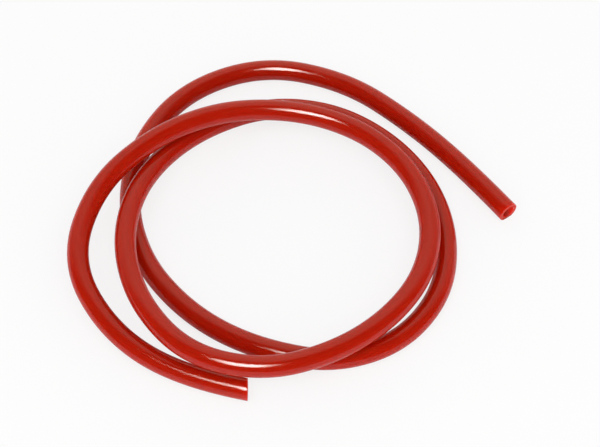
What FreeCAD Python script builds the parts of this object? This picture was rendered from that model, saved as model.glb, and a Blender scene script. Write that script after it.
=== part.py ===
"""One length of plain flexible hose, lying on a flat surface in loose turns.

The hose is a single piece: one round tube with a clear bore from end to end, no fittings and no
seams. It lies in a little over two and a half loose turns, and its last stretch runs off straight.
Where a turn passes over another it climbs in a long low hump, and where the hose lies on the
surface its soft underside is pressed flat.

Units are millimetres. The origin is on the surface, under the middle of the hose's own box, with
+Z up, +X towards the end that was cut square and -Y towards the end that was cut askew.
"""
import FreeCAD, Part
import math
import os

from FreeCAD import Vector

# Section
OUTER_DIAMETER = 8.0
BORE_DIAMETER = 5.0

# Ends
SKEW_CUT_ANGLE = 12.0       # degrees that the first end's cut is off square, seen from above

# Lay
COIL_RADIUS = 60.0          # the turns wander in and out about this radius
CROSSING_GAP = 0.5          # air left where one turn rests across another
FLAT_DEPTH = 0.5            # how far the underside is pressed flat on the surface
POINTS_PER_TURN = 15
FIRST_DIRECTION = 240.0     # degrees, anticlockwise from +X, of the first point of each turn

# The route, clockwise seen from above. Each pair says how far the hose runs outside (+) or inside
# (-) the coil radius, and how high it rides above where it would lie, both in pitches. A pitch is
# the distance between two strands that rest against each other.
FIRST_TURN = [
    (1.25, 0.00), (1.95, 0.40), (2.35, 0.90), (1.40, 1.35), (0.15, 1.65),
    (-0.65, 1.70), (-1.05, 1.50), (-1.10, 1.30), (-0.95, 1.15), (-0.75, 1.05),
    (-0.55, 0.95), (-0.45, 0.95), (-0.40, 1.00), (-0.10, 1.05), (0.50, 1.10),
]
SECOND_TURN = [
    (0.80, 1.20), (0.40, 1.20), (0.05, 1.15), (-0.20, 1.00), (-0.30, 0.65),
    (-0.20, 0.35), (0.15, 0.15), (0.20, 0.05), (0.05, 0.00), (0.05, 0.00),
    (0.20, 0.00), (0.45, 0.00), (0.35, 0.00), (-0.25, 0.00), (-1.10, 0.00),
]
LAST_TURN = [
    (-1.40, 0.00), (-1.30, 0.00), (-0.75, 0.00), (0.10, 0.00), (1.25, 0.00),
    (2.40, 0.00), (2.80, 0.00), (2.20, 0.00), (1.55, 0.00), (1.95, 0.00),
]

# The two ends lie between the steps: direction in degrees, then spread and lift as above.
SKEW_END = (259.3, 0.85, 0.00)
SQUARE_END = (7.2, 3.00, 0.00)

# An arc takes this share of the shorter of the two straight runs that it joins.
ARC_SHARE = 0.45

# Sampling of the finished route, for the gap between turns
SAMPLE_STEP = 1.0
NEIGHBOUR_LENGTH = 5 * OUTER_DIAMETER   # nearer along the hose than this is the same stretch

PITCH = OUTER_DIAMETER + CROSSING_GAP
SEAT_HEIGHT = OUTER_DIAMETER / 2 - FLAT_DEPTH


def route_point(direction, spread, lift):
    """A point of the route from its direction seen from the coil's middle."""
    angle = math.radians(direction)
    radius = COIL_RADIUS + spread * PITCH
    height = SEAT_HEIGHT + lift * PITCH
    return Vector(radius * math.cos(angle), radius * math.sin(angle), height)


def route_points():
    """The corners of the route, from the skew end through the turns to the square end."""
    step = 360.0 / POINTS_PER_TURN
    points = [route_point(*SKEW_END)]
    for index, (spread, lift) in enumerate(FIRST_TURN + SECOND_TURN + LAST_TURN):
        points.append(route_point(FIRST_DIRECTION - index * step, spread, lift))
    points.append(route_point(*SQUARE_END))
    return points


def unit(vector):
    """The vector's direction, with length one."""
    return vector / vector.Length


def corner_arc(before, corner, after):
    """The tangent arc that rounds one corner, and its radius."""
    to_before = unit(before - corner)
    to_after = unit(after - corner)
    half_opening = to_before.getAngle(to_after) / 2
    cut_back = ARC_SHARE * min((before - corner).Length, (after - corner).Length)
    radius = cut_back * math.tan(half_opening)
    to_middle = unit(to_before + to_after) * (cut_back / math.cos(half_opening) - radius)
    arc = Part.Arc(corner + to_before * cut_back, corner + to_middle, corner + to_after * cut_back)
    return arc, radius


def hose_path(points):
    """Straight runs joined by tangent arcs, as one wire, and the arcs' radii."""
    edges = []
    radii = []
    start = points[0]
    for before, corner, after in zip(points, points[1:], points[2:]):
        arc, radius = corner_arc(before, corner, after)
        edges.append(Part.LineSegment(start, arc.StartPoint).toShape())
        edges.append(arc.toShape())
        radii.append(radius)
        start = arc.EndPoint
    edges.append(Part.LineSegment(start, points[-1]).toShape())
    return Part.Wire(edges), radii


def round_sweep(path, diameter, start, direction):
    """A solid round bar of the given diameter along the path."""
    circle = Part.Wire(Part.makeCircle(diameter / 2, start, direction))
    return path.makePipeShell([circle], True, False)


def skew_cutter(end, direction, overrun):
    """The block that is cut away past the skew end, low enough to clear the turn above it."""
    width = OUTER_DIAMETER / math.cos(math.radians(SKEW_CUT_ANGLE)) + CROSSING_GAP
    height = OUTER_DIAMETER + CROSSING_GAP
    block = Part.makeBox(3 * overrun, width, height, Vector(0, -width / 2, -height / 2))
    heading = math.degrees(math.atan2(direction.y, direction.x)) + SKEW_CUT_ANGLE
    block.rotate(Vector(), Vector(0, 0, 1), heading)
    block.translate(end)
    return block


def surface_below(hose):
    """A slab that stands for the surface the hose lies on, reaching past it all round."""
    box = hose.BoundBox
    margin = OUTER_DIAMETER
    corner = Vector(box.XMin - margin, box.YMin - margin, -OUTER_DIAMETER)
    return Part.makeBox(box.XLength + 2 * margin, box.YLength + 2 * margin, OUTER_DIAMETER, corner)


def make_hose(points):
    """The hose: swept, bored, cut at both ends and pressed flat on the surface."""
    end = points[0]
    direction = unit(points[0] - points[1])
    overrun = OUTER_DIAMETER * math.tan(math.radians(SKEW_CUT_ANGLE))
    long_points = [end + direction * overrun] + points[1:]
    path, radii = hose_path(long_points)
    wall = round_sweep(path, OUTER_DIAMETER, long_points[0], direction)
    hose = wall.cut(round_sweep(path, BORE_DIAMETER, long_points[0], direction))
    section = math.pi * (OUTER_DIAMETER ** 2 - BORE_DIAMETER ** 2) / 4
    print("swept volume / (section x length): %.5f" % (hose.Volume / (section * path.Length)))
    hose = hose.cut(skew_cutter(end, direction, overrun))
    return hose.cut(surface_below(hose)), radii


def least_gap(path):
    """The least air between two stretches of the hose, measured on points along it."""
    points = path.discretize(Distance=SAMPLE_STEP)
    spacing = path.Length / (len(points) - 1)
    skip = int(NEIGHBOUR_LENGTH / spacing)
    nearest = min((first - second).Length
                  for index, first in enumerate(points)
                  for second in points[index + skip:])
    return nearest - OUTER_DIAMETER


points = route_points()
path, _ = hose_path(points)
hose, radii = make_hose(points)
box = hose.optimalBoundingBox(False)
to_origin = Vector(-box.Center.x, -box.Center.y, 0)
hose.translate(to_origin)

os.makedirs("parts", exist_ok=True)
hose.exportStep("parts/hose.step")

print("hose: valid %s, solids %d, volume %.1f mm3" % (hose.isValid(), len(hose.Solids), hose.Volume))
print("length along the middle: %.1f mm" % path.Length)
print("arc radii, mm: least %.1f, greatest %.1f" % (min(radii), max(radii)))
print("all arc radii, mm: " + ", ".join("%.0f" % radius for radius in radii))
print("least gap between turns: %.2f mm" % least_gap(path))
print("box: %.2f x %.2f x %.2f mm" % (box.XLength, box.YLength, box.ZLength))
print("coil middle: (%.2f, %.2f)" % (to_origin.x, to_origin.y))
for name, end, inner in (("skew", points[0], points[1]), ("square", points[-1], points[-2])):
    place = end + to_origin
    outward = unit(end - inner)
    print("%s end: (%.6f, %.6f, %.6f), outward (%.9f, %.9f, %.9f), straight for %.1f mm" % (
        name, place.x, place.y, place.z, outward.x, outward.y, outward.z,
        (end - inner).Length * (1 - ARC_SHARE)))
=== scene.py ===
"""The looks of one length of plain flexible hose that lies on a floor in loose turns.

The hose is a single tube of glossy red plastic with a clear bore, cut plainly at both ends. A list
of points round the coil's middle gives its lay. One smooth line that those points pull carries the
wall, the bore and the two cut faces. Units are metres, in the frame of the construction model.
"""
import math

import bmesh
import bpy
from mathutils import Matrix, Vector


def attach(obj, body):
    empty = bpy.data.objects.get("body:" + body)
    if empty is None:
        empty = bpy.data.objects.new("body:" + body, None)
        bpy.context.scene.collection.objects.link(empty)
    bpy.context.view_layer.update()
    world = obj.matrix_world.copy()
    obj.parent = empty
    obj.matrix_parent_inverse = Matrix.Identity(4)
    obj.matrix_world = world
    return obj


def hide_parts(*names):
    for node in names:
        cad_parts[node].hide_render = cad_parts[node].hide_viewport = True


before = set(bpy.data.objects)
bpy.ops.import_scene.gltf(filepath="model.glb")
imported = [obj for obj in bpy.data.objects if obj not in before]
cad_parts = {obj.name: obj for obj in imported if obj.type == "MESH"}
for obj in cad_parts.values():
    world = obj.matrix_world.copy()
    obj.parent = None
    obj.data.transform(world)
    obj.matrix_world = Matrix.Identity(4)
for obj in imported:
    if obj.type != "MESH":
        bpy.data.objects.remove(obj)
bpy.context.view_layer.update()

bl_info = {
    "name": "Loose Turns of Hose",
    "version": (1, 0, 0),
    "blender": (4, 5, 0),
    "location": "3D View > Sidebar > Hose",
    "description": "A length of plain hose in loose turns, and the stage that it is shown on",
    "category": "Mesh",
}

# Lay of the hose, the same as in the construction model. The turns run clockwise seen from above.
# Each pair says how far the hose runs outside (+) or inside (-) the coil radius, and how high it
# rides above where it would lie, both in pitches. A pitch is the distance between two strands that
# rest against each other.
COIL_MIDDLE = Vector((-0.00415, -0.00739, 0))
POINTS_PER_TURN = 15
FIRST_DIRECTION = 240.0     # degrees, anticlockwise from +X, of the first point of each turn
FIRST_TURN = [
    (1.25, 0.00), (1.95, 0.40), (2.35, 0.90), (1.40, 1.35), (0.15, 1.65),
    (-0.65, 1.70), (-1.05, 1.50), (-1.10, 1.30), (-0.95, 1.15), (-0.75, 1.05),
    (-0.55, 0.95), (-0.45, 0.95), (-0.40, 1.00), (-0.10, 1.05), (0.50, 1.10),
]
SECOND_TURN = [
    (0.80, 1.20), (0.40, 1.20), (0.05, 1.15), (-0.20, 1.00), (-0.30, 0.65),
    (-0.20, 0.35), (0.15, 0.15), (0.20, 0.05), (0.05, 0.00), (0.05, 0.00),
    (0.20, 0.00), (0.45, 0.00), (0.35, 0.00), (-0.25, 0.00), (-1.10, 0.00),
]
LAST_TURN = [
    (-1.40, 0.00), (-1.30, 0.00), (-0.75, 0.00), (0.10, 0.00), (1.25, 0.00),
    (2.40, 0.00), (2.80, 0.00), (2.20, 0.00), (1.55, 0.00), (1.95, 0.00),
]

# The two ends lie between the steps: direction in degrees, then spread and lift as above.
SKEW_END = (259.3, 0.85, 0.00)
SQUARE_END = (7.2, 3.00, 0.00)

# Mesh of the tube
STEPS_PER_POINT = 16        # rings of the wall for each point of the lay
BORE_STEP = 2               # the bore takes every second ring
LIP_STEPS = 3               # facets over the worn edge of a cut
CURVE_ORDER = 3             # points of the lay that pull each stretch of the line
SKEW_REACH = 1.5            # outside diameters over which the rings turn from the skew cut to square

WALL_SLOT, CUT_SLOT, BORE_SLOT = range(3)

# Inside the plastic, red light spreads by the glow depth, and green and blue by these shares of it.
SPREAD_OF_COLOURS = (1.0, 0.25, 0.15)

# Patterns of the finish: how dense the noise is, per metre on three axes, and its levels of detail.
# On the wall the first two axes run across the hose and the third along it.
DRAWN_LINES = ((1400, 1400, 9), 2.0)
SLOW_WAVES = ((90, 90, 45), 1.0)
MOTTLE = ((260, 260, 120), 3.0)
BLADE_MARKS = ((9000, 9000, 700), 2.0)
BLOTCHES = ((900, 900, 900), 2.0)

# Bumps of the finish: strength, and height in metres
WAVE_BUMP = (0.5, 0.00005)
LINE_BUMP = (0.05, 0.000003)
BLADE_BUMP = (0.4, 0.00002)

ROUGHNESS_SWING = 0.2       # share by which the wall's roughness goes up and down with the mottle
BLADE_ROUGHENING = 0.1      # roughness that the blade's marks add to a cut

WHITE = (1, 1, 1, 1)
SENSOR_WIDTH = 36           # millimetres
FLOOR_SIZE = 6.0
FLOOR_DROP = 0.00005        # keeps the floor just clear of the hose's underside


class HoseSizes(bpy.types.PropertyGroup):
    """Sizes of the hose and of the turns that it lies in."""

    outer_diameter: bpy.props.FloatProperty(
        name="Outer diameter",
        description="Outside diameter of the hose",
        default=0.008,
        min=0.001,
        unit="LENGTH",
    )
    bore_diameter: bpy.props.FloatProperty(
        name="Bore",
        description="Diameter of the hole through the hose",
        default=0.005,
        min=0.0005,
        unit="LENGTH",
    )
    lip_radius: bpy.props.FloatProperty(
        name="Cut edge",
        description="Radius over the edges where the hose was cut",
        default=0.00012,
        min=0.00001,
        unit="LENGTH",
    )
    skew_angle: bpy.props.FloatProperty(
        name="Skew cut",
        description="How far the first end's cut is off square, seen from above",
        default=math.radians(12),
        subtype="ANGLE",
    )
    coil_radius: bpy.props.FloatProperty(
        name="Coil radius",
        description="Radius that the turns wander in and out about",
        default=0.060,
        min=0.01,
        unit="LENGTH",
    )
    crossing_gap: bpy.props.FloatProperty(
        name="Crossing gap",
        description="Air where one turn rests across another",
        default=0.0005,
        min=0,
        unit="LENGTH",
    )
    flat_depth: bpy.props.FloatProperty(
        name="Pressed flat",
        description="How far the soft underside is pressed flat on the floor",
        default=0.0005,
        min=0,
        unit="LENGTH",
    )
    sides: bpy.props.IntProperty(
        name="Sides",
        description="Facets round the hose",
        default=48,
        min=12,
    )


class HoseFinish(bpy.types.PropertyGroup):
    """Colours and gloss of the hose."""

    wall_red: bpy.props.FloatVectorProperty(
        name="Wall",
        description="Colour of the smooth wall",
        default=(0.432, 0.0108, 0.0016),
        size=3,
        min=0,
        max=1,
        subtype="COLOR",
    )
    deep_red: bpy.props.FloatVectorProperty(
        name="Wall, deeper",
        description="Colour of the wall where the plastic is a little thicker",
        default=(0.412, 0.0098, 0.0014),
        size=3,
        min=0,
        max=1,
        subtype="COLOR",
    )
    cut_red: bpy.props.FloatVectorProperty(
        name="Cut face",
        description="Colour of the dull cut faces",
        default=(0.46, 0.035, 0.020),
        size=3,
        min=0,
        max=1,
        subtype="COLOR",
    )
    # Painted glow: the bore's red is set far paler than the wall's to stand for the light that comes
    # through the wall
    bore_painted_glow_red: bpy.props.FloatVectorProperty(
        name="Bore",
        description="Colour of the bore, paler because light comes through the wall",
        default=(0.80, 0.035, 0.018),
        size=3,
        min=0,
        max=1,
        subtype="COLOR",
    )
    gloss_roughness: bpy.props.FloatProperty(
        name="Wall roughness",
        description="Roughness of the smooth wall",
        default=0.14,
        min=0,
        max=1,
        subtype="FACTOR",
    )
    bore_roughness: bpy.props.FloatProperty(
        name="Bore roughness",
        description="Roughness of the bore",
        default=0.30,
        min=0,
        max=1,
        subtype="FACTOR",
    )
    cut_roughness: bpy.props.FloatProperty(
        name="Cut roughness",
        description="Roughness of the cut faces",
        default=0.45,
        min=0,
        max=1,
        subtype="FACTOR",
    )
    refraction: bpy.props.FloatProperty(
        name="Refraction",
        description="Refractive index of the soft plastic",
        default=1.41,
        min=1,
        max=3,
    )
    glow_depth: bpy.props.FloatProperty(
        name="Glow depth",
        description="How far light spreads inside the plastic, which lets a little through",
        default=0.006,
        min=0,
        unit="LENGTH",
    )


class StageSettings(bpy.types.PropertyGroup):
    """Camera, lamps, floor, and the room that the gloss shows."""

    elevation: bpy.props.FloatProperty(
        name="Camera elevation",
        description="Angle of the view above the floor",
        default=math.radians(55),
        subtype="ANGLE",
    )
    distance: bpy.props.FloatProperty(
        name="Camera distance",
        description="Distance from the camera to the floor where it looks",
        default=0.6637,
        min=0.1,
        unit="LENGTH",
    )
    lens: bpy.props.FloatProperty(
        name="Lens",
        description="Focal length for a sensor 36 mm wide",
        default=105.03,
        min=10,
        unit="CAMERA",
    )
    look_at: bpy.props.FloatVectorProperty(
        name="Look at",
        description="Place on the floor that the camera looks at",
        default=(0.00185, 0.00061, 0),
        size=3,
        subtype="TRANSLATION",
    )
    floor_colour: bpy.props.FloatVectorProperty(
        name="Floor",
        description="Colour of the floor",
        default=(0.90, 0.90, 0.90),
        size=3,
        min=0,
        max=1,
        subtype="COLOR",
    )
    floor_white: bpy.props.FloatProperty(
        name="Floor white",
        description="Share of plain white in the floor as the camera sees it; the rest holds the shadow",
        default=0.78,
        min=0,
        max=1,
        subtype="FACTOR",
    )
    ambient: bpy.props.FloatProperty(
        name="Ambient light",
        description="Strength of the soft light from straight above",
        default=0.50,
        min=0,
    )
    low_light: bpy.props.FloatProperty(
        name="Low light",
        description="Soft light added level with the floor, as a multiple of the light from above",
        default=3.0,
        min=0,
    )
    dim_room: bpy.props.FloatProperty(
        name="Room",
        description="How bright the room in front of the light tent looks in reflections",
        default=0.04,
        min=0,
        max=1,
        subtype="FACTOR",
    )
    tent_light: bpy.props.FloatProperty(
        name="Tent light",
        description="How bright the light tent looks in reflections",
        default=1.05,
        min=0,
    )
    tent_colour: bpy.props.FloatVectorProperty(
        name="Tent colour",
        description="Colour of the light tent",
        default=(1.0, 0.98, 0.78),
        size=3,
        min=0,
        max=1,
        subtype="COLOR",
    )
    tent_side_fade: bpy.props.FloatProperty(
        name="Tent side fade",
        description="Share of its light that the tent loses out to each side",
        default=0.65,
        min=0,
        max=1,
        subtype="FACTOR",
    )
    tent_edge: bpy.props.FloatProperty(
        name="Tent edge",
        description="Level of the tent's front edge, as the sine of its angle back from straight above",
        default=0.0,
        min=-1,
        max=1,
    )
    tent_full: bpy.props.FloatProperty(
        name="Tent at full light",
        description="Where the tent has reached its full light, as the sine of its angle back from above",
        default=0.45,
        min=-1,
        max=1,
    )
    window_way: bpy.props.FloatVectorProperty(
        name="Window",
        description="Direction of the bright window that the gloss shows as a streak",
        default=(-0.08, -0.42, 0.90),
        size=3,
        subtype="DIRECTION",
    )
    window_reach: bpy.props.FloatVectorProperty(
        name="Window reach",
        description="Half width and half depth of the window, as seen from the hose",
        default=(0.25, 0.30),
        size=2,
        min=0.01,
    )
    window_light: bpy.props.FloatProperty(
        name="Window light",
        description="How bright the middle of the window looks in reflections",
        default=34.0,
        min=0,
    )
    lamp_place: bpy.props.FloatVectorProperty(
        name="Lamp place",
        description="Place of the left lamp, from where the camera looks; the right one mirrors it",
        default=(-0.28, -0.45, 0.85),
        size=3,
        subtype="TRANSLATION",
    )
    lamp_size: bpy.props.FloatProperty(
        name="Lamp size",
        description="Side of each square lamp",
        default=0.45,
        min=0.01,
        unit="LENGTH",
    )
    lamp_power: bpy.props.FloatProperty(
        name="Lamp power",
        description="Power of each lamp",
        default=1.7,
        min=0,
        unit="POWER",
    )


class Amount:
    """A number that varies over a surface. Sums and products of it add their own maths nodes."""

    def __init__(self, tree, socket):
        self.tree = tree
        self.socket = socket

    def combined(self, operation, first, second):
        maths = add_node(self.tree, "ShaderNodeMath", {"operation": operation}, {0: first, 1: second})
        return Amount(self.tree, maths.outputs[0])

    def __abs__(self):
        return self.combined("ABSOLUTE", self, 0.0)

    def __add__(self, other):
        return self.combined("ADD", self, other)

    def __radd__(self, other):
        return self.combined("ADD", other, self)

    def __sub__(self, other):
        return self.combined("SUBTRACT", self, other)

    def __rsub__(self, other):
        return self.combined("SUBTRACT", other, self)

    def __mul__(self, other):
        return self.combined("MULTIPLY", self, other)


def add_node(tree, kind, settings, inputs):
    """One shader node: its settings first, then the values or links of its sockets."""
    node = tree.nodes.new(kind)
    for name, value in settings.items():
        setattr(node, name, value)
    for name, value in inputs.items():
        source = value.socket if isinstance(value, Amount) else value
        if isinstance(source, bpy.types.NodeSocket):
            tree.links.new(source, node.inputs[name])
        else:
            node.inputs[name].default_value = source
    return node


def noise(tree, coordinates, stretch, detail):
    """Soft noise on coordinates that are first multiplied by stretch, one number for each axis."""
    scaled = add_node(
        tree, "ShaderNodeVectorMath", {"operation": "MULTIPLY"}, {0: coordinates, 1: stretch}
    )
    cloud = add_node(
        tree, "ShaderNodeTexNoise", {}, {"Vector": scaled.outputs[0], "Scale": 1.0, "Detail": detail}
    )
    return Amount(tree, cloud.outputs[0])


def mixed_colour(tree, factor, first, second):
    """A colour that goes from first to second as factor goes from 0 to 1."""
    mix = add_node(tree, "ShaderNodeMix", {"data_type": "RGBA"}, {0: factor, 6: first, 7: second})
    return mix.outputs[2]


def smooth_step(tree, value, start, end):
    """Nought at start and one at end, with a soft change between them."""
    step = add_node(
        tree,
        "ShaderNodeMapRange",
        {"interpolation_type": "SMOOTHSTEP"},
        {"Value": value, "From Min": start, "From Max": end},
    )
    return Amount(tree, step.outputs[0])


def bump(tree, height, strength, distance, under=None):
    """Bumps of a varying height, on top of other bumps where there are any."""
    inputs = {"Strength": strength, "Distance": distance, "Height": height}
    if under is not None:
        inputs["Normal"] = under
    return add_node(tree, "ShaderNodeBump", {}, inputs).outputs[0]


def place_on_hose(tree):
    """Where a point lies on the hose pulled out straight: two ways across it, then along it."""
    return add_node(tree, "ShaderNodeAttribute", {"attribute_name": "lay"}, {}).outputs["Vector"]


def empty_material(name):
    """A material with no nodes yet, and its tree."""
    material = bpy.data.materials.new(name)
    material.use_nodes = True
    material.node_tree.nodes.clear()
    return material, material.node_tree


def finish_material(tree, shader):
    """Send a shader to the material's output."""
    add_node(tree, "ShaderNodeOutputMaterial", {}, {"Surface": shader.outputs[0]})


def finish_plastic(tree, finish, look):
    """Send the soft plastic to the output. Its look says what differs: colour, roughness and bumps."""
    same = {
        "IOR": finish.refraction,
        "Subsurface Weight": 1.0,
        "Subsurface Radius": SPREAD_OF_COLOURS,
        "Subsurface Scale": finish.glow_depth,
    }
    finish_material(tree, add_node(tree, "ShaderNodeBsdfPrincipled", {}, same | look))


def glossy_wall(finish):
    """Smooth extruded red plastic, with faint lines drawn along the hose and a soft mottle."""
    material, tree = empty_material("glossy_red_plastic")
    place = place_on_hose(tree)
    mottle = noise(tree, place, *MOTTLE)
    waves = bump(tree, noise(tree, place, *SLOW_WAVES), *WAVE_BUMP)
    lines = bump(tree, noise(tree, place, *DRAWN_LINES), *LINE_BUMP, under=waves)
    smoothest = finish.gloss_roughness * (1 - ROUGHNESS_SWING)
    swing = finish.gloss_roughness * ROUGHNESS_SWING * 2
    look = {
        "Base Color": mixed_colour(tree, mottle, (*finish.deep_red, 1), (*finish.wall_red, 1)),
        "Roughness": smoothest + mottle * swing,
        "Normal": lines,
    }
    finish_plastic(tree, finish, look)
    return material


def dull_cut(finish):
    """The knife-cut end of the same plastic: dull, a little paler, with fine marks of the blade."""
    material, tree = empty_material("cut_red_plastic")
    place = add_node(tree, "ShaderNodeTexCoord", {}, {}).outputs["Object"]
    marks = noise(tree, place, *BLADE_MARKS)
    blotches = noise(tree, place, *BLOTCHES)
    look = {
        "Base Color": mixed_colour(tree, blotches, (*finish.wall_red, 1), (*finish.cut_red, 1)),
        "Roughness": finish.cut_roughness + marks * BLADE_ROUGHENING,
        "Normal": bump(tree, marks, *BLADE_BUMP),
    }
    finish_plastic(tree, finish, look)
    return material


def bright_bore(finish):
    """The inside of the bore: the same plastic, its colour painted paler as a glow that stands for the
    light coming through the wall.
    """
    material, tree = empty_material("bore_painted_glow_plastic")
    mottle = noise(tree, place_on_hose(tree), *MOTTLE)
    look = {
        # Painted glow: the colour runs from the cut's red to the much paler bore red, which stands in for
        # light through the wall
        "Base Color": mixed_colour(tree, mottle, (*finish.cut_red, 1), (*finish.bore_painted_glow_red, 1)),
        "Roughness": finish.bore_roughness,
    }
    finish_plastic(tree, finish, look)
    return material


def lay_point(sizes, direction, spread, lift):
    """A point of the lay from its direction seen from the coil's middle."""
    pitch = sizes.outer_diameter + sizes.crossing_gap
    radius = sizes.coil_radius + spread * pitch
    height = sizes.outer_diameter / 2 - sizes.flat_depth + lift * pitch
    angle = math.radians(direction)
    return COIL_MIDDLE + Vector((radius * math.cos(angle), radius * math.sin(angle), height))


def lay_points(sizes):
    """The points of the lay, from the skew end through the turns to the square end."""
    step = 360.0 / POINTS_PER_TURN
    points = [lay_point(sizes, *SKEW_END)]
    for index, (spread, lift) in enumerate(FIRST_TURN + SECOND_TURN + LAST_TURN):
        points.append(lay_point(sizes, FIRST_DIRECTION - index * step, spread, lift))
    points.append(lay_point(sizes, *SQUARE_END))
    return points


def middle_line(points):
    """Close points along one smooth curve that the points of the lay pull."""
    curve = bpy.data.curves.new("hose_line", "CURVE")
    curve.dimensions = "3D"
    spline = curve.splines.new("NURBS")
    spline.points.add(len(points) - 1)
    for control, point in zip(spline.points, points):
        control.co = (*point, 1)
    spline.order_u = CURVE_ORDER
    spline.use_endpoint_u = True
    spline.resolution_u = STEPS_PER_POINT
    holder = bpy.data.objects.new("hose_line", curve)
    wire = bpy.data.meshes.new_from_object(holder)
    line = [vertex.co.copy() for vertex in wire.vertices]
    bpy.data.meshes.remove(wire)
    bpy.data.objects.remove(holder)
    bpy.data.curves.remove(curve)
    return line


def stations(line):
    """Each point of the line with the ways along, across and up there, and its distance along."""
    found = []
    distance = 0.0
    for index, place in enumerate(line):
        before = line[max(index - 1, 0)]
        after = line[min(index + 1, len(line) - 1)]
        distance += (place - before).length
        along = (after - before).normalized()
        across = along.cross(Vector((0, 0, 1))).normalized()
        found.append((place, along, across, across.cross(along), distance))
    return found


def lip_profile(radius, inwards, sizes):
    """Over the worn edge of a cut: distance in from the end, and radius, from the wall to the cut."""
    lip = sizes.lip_radius
    turns = [math.pi / 2 * step / LIP_STEPS for step in range(LIP_STEPS + 1)]
    return [(lip * (1 - math.sin(turn)), radius - inwards * lip * (1 - math.cos(turn))) for turn in turns]


def skin_rings(last, sizes):
    """The closed skin as rings: station, distance along from it, and radius.

    They run along the outside, round the square cut, back through the bore and round the skew cut.
    """
    outer_lip = lip_profile(sizes.outer_diameter / 2, 1, sizes)
    bore_lip = lip_profile(sizes.bore_diameter / 2, -1, sizes)
    rings = [(0, inset, radius) for inset, radius in reversed(outer_lip)]
    rings += [(station, 0, sizes.outer_diameter / 2) for station in range(1, last)]
    rings += [(last, -inset, radius) for inset, radius in outer_lip]
    rings += [(last, -inset, radius) for inset, radius in reversed(bore_lip)]
    rings += [(station, 0, sizes.bore_diameter / 2) for station in range(last - 1, 0, -BORE_STEP)]
    rings += [(0, inset, radius) for inset, radius in bore_lip]
    return rings


def ring_points(station, shift, radius, sizes):
    """The corners of one ring, none below the floor, and where each lies on the straightened hose."""
    place, along, across, up, distance = station
    reach = SKEW_REACH * sizes.outer_diameter
    lean = math.tan(sizes.skew_angle) * max(0.0, 1 - distance / reach)
    for side in range(sizes.sides):
        angle = 2 * math.pi * side / sizes.sides
        aside = radius * math.cos(angle)
        above = radius * math.sin(angle)
        point = place + across * aside + up * above + along * (shift + lean * aside)
        point.z = max(point.z, 0.0)
        yield point, (aside, above, distance + shift)


def slot_between(ring, following, sizes):
    """The material slot of the band between two rings: the wall, a cut face or the bore."""
    station, shift, radius = ring
    if station == following[0] and shift == 0 and following[1] == 0:
        return CUT_SLOT
    halfway = (sizes.outer_diameter + sizes.bore_diameter) / 4
    return WALL_SLOT if radius > halfway else BORE_SLOT


def tube_mesh(line, sizes):
    """The whole skin of the hose, with the wall, the cut faces and the bore in their slots."""
    found = stations(line)
    rings = skin_rings(len(line) - 1, sizes)
    mesh = bpy.data.meshes.new("hose_tube")
    build = bmesh.new()
    lay = build.verts.layers.float_vector.new("lay")
    unrolled = build.loops.layers.uv.new("unrolled")
    corners = []
    for station, shift, radius in rings:
        corners.append([])
        for point, straight_place in ring_points(found[station], shift, radius, sizes):
            corner = build.verts.new(point)
            corner[lay] = straight_place
            corners[-1].append(corner)
    for index, ring in enumerate(corners):
        after = (index + 1) % len(corners)
        following = corners[after]
        slot = slot_between(rings[index], rings[after], sizes)
        for side in range(sizes.sides):
            beside = (side + 1) % sizes.sides
            face = build.faces.new((ring[side], following[side], following[beside], ring[beside]))
            face.material_index = slot
            face.smooth = slot != CUT_SLOT
            for loop, turn in zip(face.loops, (side, side, side + 1, side + 1)):
                round_share = turn / sizes.sides
                loop[unrolled].uv = (loop.vert[lay][2], round_share * math.pi * sizes.outer_diameter)
    build.to_mesh(mesh)
    build.free()
    return mesh


def length_of(line):
    """Length along a line of close points."""
    return sum((after - before).length for before, after in zip(line, line[1:]))


class HOSE_OT_add_hose(bpy.types.Operator):
    """Add the hose along its lay, with its wall, bore, cut ends and finish"""

    bl_idname = "hose.add_hose"
    bl_label = "Add Hose"

    def execute(self, context):
        sizes = context.scene.hose_sizes
        line = middle_line(lay_points(sizes))
        hose = bpy.data.objects.new("hose_tube", tube_mesh(line, sizes))
        context.collection.objects.link(hose)
        for material in (glossy_wall, dull_cut, bright_bore):
            hose.data.materials.append(material(context.scene.hose_finish))
        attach(hose, "root")
        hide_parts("hose")
        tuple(line[0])
        length_of(line)
        return {"FINISHED"}


def aim_from(place, target):
    """The rotation that turns a camera or a lamp at place towards target."""
    return (target - place).to_track_quat("-Z", "Y").to_euler()


def add_lamp(name, place, target, side, power):
    """A soft square lamp that shines from place towards target, and that the gloss doesn't show."""
    bpy.ops.object.light_add(type="AREA", location=place, rotation=aim_from(place, target))
    lamp = bpy.context.object
    lamp.name = name
    lamp.data.shape = "SQUARE"
    lamp.data.size = side
    lamp.data.energy = power
    lamp.visible_camera = False
    lamp.visible_glossy = False


def pale_floor(stage):
    """Matt pale floor that stays near white to the camera and keeps the shadow on it."""
    material, tree = empty_material("pale_floor")
    rays = add_node(tree, "ShaderNodeLightPath", {}, {})
    seen = Amount(tree, rays.outputs["Is Camera Ray"])
    matt = add_node(tree, "ShaderNodeBsdfDiffuse", {}, {"Color": (*stage.floor_colour, 1)})
    white = add_node(tree, "ShaderNodeEmission", {}, {"Color": WHITE, "Strength": 1.0})
    shader = add_node(
        tree,
        "ShaderNodeMixShader",
        {},
        {0: seen * stage.floor_white, 1: matt.outputs[0], 2: white.outputs[0]},
    )
    finish_material(tree, shader)
    return material


def tent_in_gloss(stage, aside, back, tree):
    """How bright the room looks in reflections: a light tent behind, fading out to both sides."""
    edge = smooth_step(tree, back, stage.tent_edge, stage.tent_full)
    share = edge * (1 - abs(aside) * stage.tent_side_fade)
    return stage.dim_room + share * (stage.tent_light - stage.dim_room)


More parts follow.
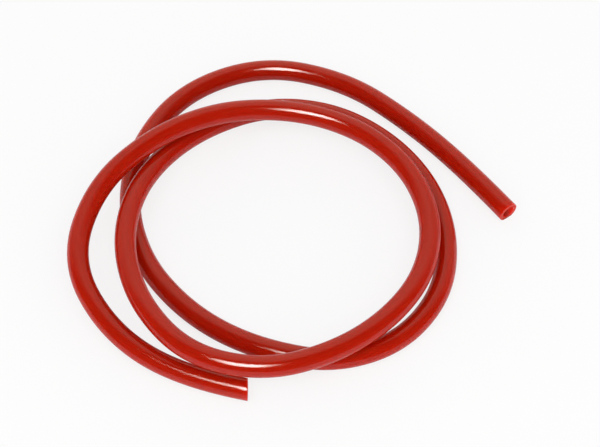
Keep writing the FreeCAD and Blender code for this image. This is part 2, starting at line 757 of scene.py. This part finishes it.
def window_share(stage, aside, back, tree):
    """One in the middle of the bright window, fading to nought at its oval edge."""
    way = Vector(stage.window_way).normalized()
    across = (aside - way.x) * (1 / stage.window_reach[0])
    along = (back - way.y) * (1 / stage.window_reach[1])
    return smooth_step(tree, across * across + along * along, 1.0, 0.0)


def white_room(scene, stage):
    """White to the camera, a light tent in a dim room to the gloss, and a soft light for the rest."""
    world = bpy.data.worlds.new("white_room")
    world.use_nodes = True
    scene.world = world
    tree = world.node_tree
    tree.nodes.clear()
    way = add_node(tree, "ShaderNodeTexCoord", {}, {}).outputs["Generated"]
    parts = add_node(tree, "ShaderNodeSeparateXYZ", {}, {0: way})
    aside, back, upwards = (Amount(tree, socket) for socket in parts.outputs)
    level = 1 - upwards
    soft_light = stage.ambient + level * level * (stage.ambient * stage.low_light)
    window = window_share(stage, aside, back, tree)
    gloss = tent_in_gloss(stage, aside, back, tree) + window * stage.window_light
    rays = add_node(tree, "ShaderNodeLightPath", {}, {})
    camera = Amount(tree, rays.outputs["Is Camera Ray"])
    glossy = Amount(tree, rays.outputs["Is Glossy Ray"])
    through = Amount(tree, rays.outputs["Is Transmission Ray"])
    white = 1 - (1 - camera) * (1 - through)
    room = glossy * gloss + (1 - glossy) * soft_light
    colour = mixed_colour(tree, glossy * (1 - window), WHITE, (*stage.tent_colour, 1))
    sky = add_node(
        tree,
        "ShaderNodeBackground",
        {},
        {"Color": colour, "Strength": white + (1 - white) * room},
    )
    add_node(tree, "ShaderNodeOutputWorld", {}, {"Surface": sky.outputs[0]})


class HOSE_OT_add_stage(bpy.types.Operator):
    """Add the camera, the lamps, the white room and the floor"""

    bl_idname = "hose.add_stage"
    bl_label = "Add Stage"

    def execute(self, context):
        stage = context.scene.hose_stage
        target = Vector(stage.look_at)
        away = Vector((0, -math.cos(stage.elevation), math.sin(stage.elevation)))
        place = target + away * stage.distance
        bpy.ops.object.camera_add(location=place, rotation=(math.pi / 2 - stage.elevation, 0, 0))
        camera = context.object
        camera.data.lens = stage.lens
        camera.data.sensor_width = SENSOR_WIDTH
        context.scene.camera = camera

        aside, back, above = stage.lamp_place
        for name, side in (("left_lamp", aside), ("right_lamp", -aside)):
            place = target + Vector((side, back, above))
            add_lamp(name, place, target, stage.lamp_size, stage.lamp_power)

        bpy.ops.mesh.primitive_plane_add(size=FLOOR_SIZE, location=(0, 0, -FLOOR_DROP))
        floor = context.object
        floor.name = "floor"
        floor.data.materials.append(pale_floor(stage))

        white_room(context.scene, stage)
        context.scene.view_settings.view_transform = "Standard"
        return {"FINISHED"}


class HOSE_PT_panel(bpy.types.Panel):
    """Lists the sizes, the finish and the stage, and makes them"""

    bl_idname = "HOSE_PT_panel"
    bl_label = "Hose"
    bl_space_type = "VIEW_3D"
    bl_region_type = "UI"
    bl_category = "Hose"

    def draw(self, context):
        scene = context.scene
        for group in (scene.hose_sizes, scene.hose_finish, scene.hose_stage):
            box = self.layout.box()
            for name in group.__annotations__:
                box.prop(group, name)
        self.layout.operator("hose.add_stage")
        self.layout.operator("hose.add_hose")


CLASSES = (HoseSizes, HoseFinish, StageSettings, HOSE_OT_add_stage, HOSE_OT_add_hose, HOSE_PT_panel)


def register():
    """Make the groups, buttons and panel known to Blender."""
    for piece in CLASSES:
        bpy.utils.register_class(piece)
    bpy.types.Scene.hose_sizes = bpy.props.PointerProperty(type=HoseSizes)
    bpy.types.Scene.hose_finish = bpy.props.PointerProperty(type=HoseFinish)
    bpy.types.Scene.hose_stage = bpy.props.PointerProperty(type=StageSettings)


def unregister():
    """Take them away again."""
    del bpy.types.Scene.hose_stage
    del bpy.types.Scene.hose_finish
    del bpy.types.Scene.hose_sizes
    for piece in reversed(CLASSES):
        bpy.utils.unregister_class(piece)


def main():
    """Make the stage and the hose."""
    register()
    bpy.ops.object.select_all(action="DESELECT")
    bpy.ops.hose.add_stage()
    bpy.ops.hose.add_hose()


if __name__ == "__main__":
    main()
